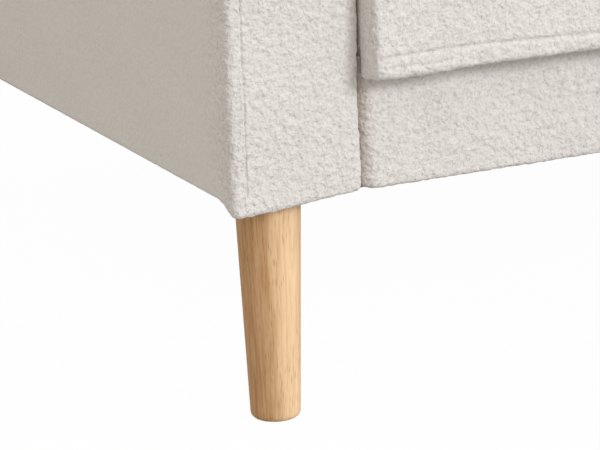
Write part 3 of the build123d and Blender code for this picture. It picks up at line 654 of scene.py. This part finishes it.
LEG_TOP, LEG_FOOT, FOOT_ROUND, FELT_ROOM, FELT_DEPTH = 0.0226, 0.0170, 0.0045, 0.0122, 0.0025
FELT_EDGE, TOP_EDGE, SHADE_SIDE_ANGLE = 0.0002, 0.0006, 2.62
leg_wood = pale_hardwood()
for corner, middle in middles.items():
    low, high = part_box(f"leg_{corner}")
    profile = bent_line(
        [
            (0, low.z + FELT_DEPTH),
            (FELT_ROOM, low.z + FELT_DEPTH),
            (FELT_ROOM, low.z),
            (LEG_FOOT, low.z),
            (LEG_TOP, high.z),
            (0, high.z),
        ],
        (FELT_EDGE, FELT_EDGE, FOOT_ROUND, TOP_EDGE),
    )
    where = spaced(profile[2], [0.006, 0.0004, 0.003, 0.0004, 0.001, 0.0009, 0.003, 0.0006, 0.006])
    radius, height = along(profile, where).T[:, :, None]
    angle = np.linspace(0, math.tau, 96, endpoint=False)
    ring = np.stack(np.broadcast_arrays(radius * np.cos(angle), radius * np.sin(angle), height), -1)
    leg = surface(f"turned_leg_{corner}", ring + [middle.x, middle.y, 0], wrap=True)
    # Painted shade: the outer rear side of each leg is marked to be painted darker and browner.
    hand = np.sign(middle.x)
    turn = -hand * np.cos(angle + hand * SHADE_SIDE_ANGLE)
    marked(leg, "painted_shade_side", np.broadcast_to(eased(turn, -0.7, 0.6), ring.shape[:2]))
    closed(leg)
    dress(leg, leg_wood, "leg_wood", "sofa_frame", f"leg_{corner}")
finish(pressed_felt("brown_felt", (0.20, 0.17, 0.14), (0.38, 0.33, 0.28)), "leg_glides")


# Seat and back cushions: loose boxed cushions, a foam or fibre filling in a sewn cover of the looped cloth.
# The seat cushions overhang the front rail, where a stitched seam and a folded lip follow their lower edge.
def places(mesh):
    """The mesh's vertices as an array."""
    co = np.empty(len(mesh.vertices) * 3, np.float32)
    mesh.vertices.foreach_get("co", co)
    return co.reshape(-1, 3).astype(float)


def drawn(distance, radius):
    """How far a quarter round at the end of a length draws a side in, at a distance from that end."""
    return radius - math.sqrt(max(radius**2 - max(radius - distance, 0) ** 2, 0))


END_SPAN, END_FILL = 0.09, 0.97


def boxed(section, radii, heart, low, high, u, v):
    """Points of a boxed cushion: an upright section carried along the length and drawn in by a quarter round
    near both ends, with each flat end filled by copies of the last section that shrink to its heart. u runs
    along the length and on into the ends, v round the section."""
    ends = bent_line(section(1.0), radii)[2]
    x = np.clip(u, low, high)
    rows = []
    for place, part in zip(x, 1 - np.abs(u - x) / END_SPAN):
        run = bent_line(section(min(place - low, high - place)), radii)
        ring = along(run, np.interp(v, ends, run[2]))
        ring = heart + part * (ring - heart)
        rows.append(np.column_stack((np.full(len(ring), place), ring)))
    return np.array(rows)


def stuffed(points, held, pressure, limit):
    """How far the points of a closed skin move when it is filled: cloth under pressure from inside for
    twenty steps, held where it rests, and no point further than a limit."""
    last_step = 20
    made = closed(surface("filling", points, wrap=True))
    group = made.vertex_groups.new(name="held")
    group.add(np.flatnonzero(held(points.reshape(-1, 3))).tolist(), 1.0, "REPLACE")
    filling = made.modifiers.new("filling", "CLOTH")
    rules = filling.settings
    rules.quality, rules.mass = 4, 0.25
    rules.use_pressure, rules.uniform_pressure_force = True, pressure
    rules.tension_stiffness = rules.compression_stiffness = 18
    rules.shear_stiffness, rules.bending_stiffness = 6, 0.6
    rules.vertex_group_mass = "held"
    rules.effector_weights.gravity = 0
    filling.collision_settings.use_collision = False
    filling.point_cache.frame_start, filling.point_cache.frame_end = 1, last_step
    for step in range(1, last_step + 1):
        bpy.context.scene.frame_set(step)
    graph = bpy.context.evaluated_depsgraph_get()
    moved = places(made.evaluated_get(graph).data).reshape(points.shape) - points
    bpy.data.objects.remove(made)
    bpy.context.scene.frame_set(1)
    far = np.maximum(np.linalg.norm(moved, axis=-1, keepdims=True), 1e-9)
    return moved * np.minimum(1, limit / far)


def between(values, at, where, axis):
    """Values that are known at some positions along an axis, in straight lines between them."""
    k = np.clip(np.searchsorted(at, where) - 1, 0, len(at) - 2)
    share = (where - at[k]) / (at[k + 1] - at[k])
    share = share.reshape([-1 if n == axis else 1 for n in range(values.ndim)])
    return np.take(values, k, axis) * (1 - share) + np.take(values, k + 1, axis) * share


REST_GAP, SWELL_LIMIT, SEAM_RISE, LIP_FOLD_RISE = 0.0008, 0.012, 0.0125, 0.0050
NEAR_LENGTH, NEAR_FRONT = 0.20, 0.09
deck_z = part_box("seat_deck_cloth")[1].z
rail_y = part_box("front_rail_cover")[0].y
for kind in ("seat", "back"):
    low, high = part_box(f"{kind}_cushion_cover_left")
    rest, waist = deck_z + REST_GAP, (deck_z + high.z) / 2
    if kind == "seat":
        pressure, fullness, filling = 1.5, 0.8, "foam"
        swell_up, swell_out, lip_out, lip_drop, lean = 0.009, 0.001, 0.0018, 0.0030, 0.012

        def section(to_end):
            """From the waist of the rear face down, along the deck, over the rail's edge into the hanging
            lip, and up the front, which leans back a little."""
            a, b, c = (drawn(to_end, radius) for radius in (0.0045, 0.0015, 0.007))
            top, front, rear = high.z - swell_up - a, low.y + swell_out + a, high.y - a
            lip, foot = rail_y - lip_out + 0.4 * c, low.z - 0.0018 + b
            return [
                (rear, waist),
                (rear, rest),
                (lip + 0.0006, rest),
                (lip, foot - lip_drop),
                (front, foot),
                (front + lean, top),
                (rear, top),
                (rear, waist + 1e-4),
            ]

        radii = (0.02, 0.002, 0.002, 0.004, 0.03, 0.03)
        heart = np.array((rail_y - 0.010, deck_z + 0.09))
    else:
        pressure, fullness, filling = 3.0, 0.65, "fill"
        swell_up, swell_out, belly_z, chest_z, lean = 0.012, 0.003, deck_z + 0.17, deck_z + 0.35, 0.044

        def section(to_end):
            """From the waist of the rear face down, along the deck and up a front that leans back more and
            more above its belly."""
            a, b = drawn(to_end, 0.006), drawn(to_end, 0.003)
            top, front, rear = high.z - swell_up - a, low.y + swell_out + a, high.y - a
            return [
                (rear, waist),
                (rear, rest + b),
                (front, rest + b),
                (front, belly_z),
                (front + 0.016, chest_z),
                (front + lean, top),
                (rear, top),
                (rear, waist + 1e-4),
            ]

        radii = (0.02, 0.02, 0.2, 0.3, 0.03, 0.03)
        heart = np.array(((low.y + high.y) / 2 + 0.01, deck_z + 0.25))

    start, stop = low.x - END_FILL * END_SPAN, high.x + END_FILL * END_SPAN
    _, lengths, turns = bent_line(section(1.0), radii)
    net_u = spaced(
        [start, low.x, low.x + 0.006, high.x - 0.006, high.x, stop],
        [0.012, 0.003, 0.008, 0.003, 0.012],
    )
    net_v = spaced(turns, [0.0035 if n % 2 else 0.008 for n in range(len(turns) - 1)])[:-1]
    net = boxed(section, radii, heart, low.x, high.x, net_u, net_v)
    moved = stuffed(net, lambda co: co[:, 2] < deck_z + 0.004, pressure, SWELL_LIMIT)
    moved = np.concatenate((moved, moved[:, :1]), axis=1)
    for side, word in ((-1, "left"), (1, "right")):
        near = kind == "seat" and side < 0
        u = spaced(
            [start, low.x, low.x + 0.008, low.x + NEAR_LENGTH, high.x - 0.008, high.x, stop],
            [0.010, 0.0012, 0.0011 if near else 0.007, 0.007, 0.0015, 0.010],
        )
        stops, steps = list(turns), [0.0025 if n % 2 else 0.007 for n in range(len(turns) - 1)]
        if near:
            stops.insert(9, stops[8] + NEAR_FRONT)
            steps[3:9] = [0.0012, 0.002, 0.0008, 0.0013, 0.0008, 0.0011, 0.007]
        v = spaced(stops, steps)[:-1]
        sheet = boxed(section, radii, heart, low.x, high.x, u, v)
        free = eased(sheet[..., 2:], low.z + 0.02, low.z + 0.15) if kind == "seat" else 1.0
        sheet += free * between(between(moved, net_u, u, 0), np.append(net_v, lengths[-1]), v, 1)
        sheet[..., 0] = np.clip(sheet[..., 0], low.x, high.x)
        sheet[..., 1] = np.minimum(sheet[..., 1], high.y)
        x, y, z = np.moveaxis(sheet, -1, 0)
        height = 0.0010 * unevenness(x + 0.4 * y, z - 0.7 * y, 0.10, 3.0 + side)
        height *= 1 - eased(y, high.y - 0.012, high.y - 0.002)
        if kind == "seat":
            seam_z = low.z + SEAM_RISE + 0.0006 * np.sin(x * 37) - 0.02 * np.maximum(x - low.x - 0.05, 0)
            fold = tuck(z - low.z - LIP_FOLD_RISE, 0.0010, 0.0009)
            fold *= 1 - eased(x, low.x + 0.03, low.x + 0.06)
            sewn = (tuck(z - seam_z, 0.0018, 0.0012) + fold) * eased(x, low.x + 0.001, low.x + 0.008)
            height += np.where(y < rail_y + 0.012, sewn, 0)
        if near:
            looped = 1 - eased(x, low.x + NEAR_LENGTH - 0.03, low.x + NEAR_LENGTH)
            looped *= 1 - eased(y, rail_y + 0.005, rail_y + 0.020)
            looped *= 1 - eased(z, deck_z + NEAR_FRONT - 0.03, deck_z + NEAR_FRONT - 0.01)
            height += 0.0007 * looped * pile(x + 0.35 * y, z - 0.8 * y)
        into_end = np.abs(u - np.clip(u, low.x, high.x))[:, None]
        sheet = raised(sheet, height * (1 - eased(into_end, 0.0, 0.004)))
        sheet[..., 0] *= -side
        body = f"{kind}_cushion_{word}"
        cushion = closed(surface(body, sheet, wrap=True))
        dress(
            cushion, cloth, "looped_cloth", body,
            f"{kind}_cushion_cover_{word}", f"{kind}_cushion_{filling}_{word}",
        )


# Zips: a woven tape sewn across the rear face of every cushion, with a nylon coil along its middle and a
# nickel-plated slider that runs on the coil.
zip_cloth, shader, place = new_finish("zip_tape")
weave = place.wave(420.0, "X") * 0.5 + place.wave(420.0, "Z") * 0.5
tone = weave * 0.7 + place.noise(40.0) * 0.3
tone.mixed((0.60, 0.56, 0.51), (0.80, 0.77, 0.72)).into(shader["Base Color"])
(0.85 - weave * 0.1).into(shader["Roughness"])
weave.bump(0.0002, 0.5).into(shader["Normal"])
nickel = metal("nickel_plate", (0.50, 0.49, 0.47), (0.70, 0.69, 0.67), 200.0, 0.2)
COIL_PITCH, COIL_WIDTH, TAPE_THICK = 0.0016, 0.0060, 0.0009
STITCH_PITCH, STITCH_INSET = 0.003, 0.004
for kind in ("seat", "back"):
    for word in ("left", "right"):
        low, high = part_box(f"{kind}_zip_{word}")
        middle, tape = (low.z + high.z) / 2, low.y + TAPE_THICK
        coil_low, coil_high = middle - COIL_WIDTH / 2, middle + COIL_WIDTH / 2
        x, z = np.meshgrid(
            spaced([low.x, high.x], [COIL_PITCH / 3]),
            spaced([low.z, coil_low, coil_high, high.z], [0.003, 0.0006, 0.003]),
            indexing="ij",
        )
        across = np.clip((z - middle) / (COIL_WIDTH / 2), -1, 1)
        tooth = 0.55 + 0.45 * np.cos(math.tau * (x / COIL_PITCH + 0.5 * (across > 0)))
        coil = (high.y - tape) * np.sqrt(1 - across**2) * tooth * eased(np.abs(across), 0.0, 0.25)
        edge = np.minimum(z - low.z, high.z - z)
        seam = -tuck(edge - STITCH_INSET, 0.0002, 0.0008)
        stitch = seam * np.cos(math.tau * x / STITCH_PITCH)
        zipper = surface(f"{kind}_zip_tape_{word}", np.stack((x, tape + coil + stitch, z), -1), outward=-1)
        dress(zipper, zip_cloth, "zip_tape", f"{kind}_cushion_{word}", f"{kind}_zip_{word}")
        finish(nickel, f"{kind}_zip_slider_{word}")


# Studio: a pale floor that shows white to the camera and keeps a soft shadow, even warm light from all round
# and a broad lamp from the front right, so that the sofa's left side lies in soft shade.
def seen_directly(tree):
    """1 for a ray from the camera, off a gloss or through a clear piece, and 0 for one that gives light."""
    paths = tree.nodes.new("ShaderNodeLightPath").outputs
    return sum(Shade(tree, paths[f"Is {way} Ray"]) for way in ("Camera", "Glossy", "Transmission"))


FLOOR_REACH, FLOOR_Z, WHITE = 20.0, -0.0005, (1, 1, 1, 1)
ends = (-FLOOR_REACH, FLOOR_REACH)
floor = surface("floor", np.array([[(x, y, FLOOR_Z) for y in ends] for x in ends]))
material, shader, place = new_finish("studio_floor")
tree = material.node_tree
place.noise(30.0, 3.0).mixed((0.46, 0.46, 0.46), (0.50, 0.50, 0.50)).into(shader["Base Color"])
shader["Roughness"].default_value = 0.9
white = place.node("Emission", {"Color": WHITE, "Strength": 1.01})
lit = Shade(tree, tree.nodes["Principled BSDF"].outputs[0])
shown = place.node("MixShader", {0: seen_directly(tree) * 0.97, 1: lit, 2: white})
shown.into(tree.nodes["Material Output"].inputs["Surface"])
floor.data.materials.append(material)

world = bpy.data.worlds.new("studio")
bpy.context.scene.world = world
world.use_nodes = True
tree = world.node_tree
lit = Shade(tree, tree.nodes["Background"].outputs[0])
direction = Shade(tree, tree.nodes.new("ShaderNodeTexCoord").outputs["Object"])
up = direction.node("SeparateXYZ", {0: direction}, result=2)
sky = up.math("MAXIMUM", up, 0.0).mixed((0.64, 0.605, 0.545), (0.88, 0.84, 0.77))
sky.into(tree.nodes["Background"].inputs["Color"])
white = lit.node("Background", {"Color": WHITE, "Strength": 1.0})
shown = lit.node("MixShader", {0: seen_directly(tree), 1: lit, 2: white})
shown.into(tree.nodes["World Output"].inputs["Surface"])

lamp = bpy.data.lights.new("key_lamp", "SUN")
lamp.angle, lamp.energy, lamp.color = math.radians(18), 1.58, (0.96, 0.98, 1.02)
holder = bpy.data.objects.new("key_lamp", lamp)
bpy.context.scene.collection.objects.link(holder)
holder.rotation_euler = Vector((-0.40, 0.82, -0.41)).to_track_quat("-Z", "Y").to_euler()

# Camera: in front of the left front corner and above it, turned to the right and a little down, with a long
# lens and a slight tilt.
EYE = (-1.55034, -2.12540, 0.67684)
turn, fall, roll = (math.radians(v) for v in (24.881, 15.714, -2.065))
ahead = Vector((math.cos(fall) * math.sin(turn), math.cos(fall) * math.cos(turn), -math.sin(fall)))
level = Vector((math.cos(turn), -math.sin(turn), 0))
upright = level.cross(ahead)
right = level * math.cos(roll) + upright * math.sin(roll)
up = upright * math.cos(roll) - level * math.sin(roll)
lens = bpy.data.cameras.new("camera")
lens.lens, lens.sensor_width = 180.0, 36.0
lens.clip_start, lens.clip_end = 0.05, 100.0
camera = bpy.data.objects.new("camera", lens)
bpy.context.scene.collection.objects.link(camera)
pose = Matrix((right, up, -ahead)).transposed().to_4x4()
pose.translation = EYE
camera.matrix_world = pose
bpy.context.scene.camera = camera
bpy.context.scene.view_settings.view_transform = "Standard"
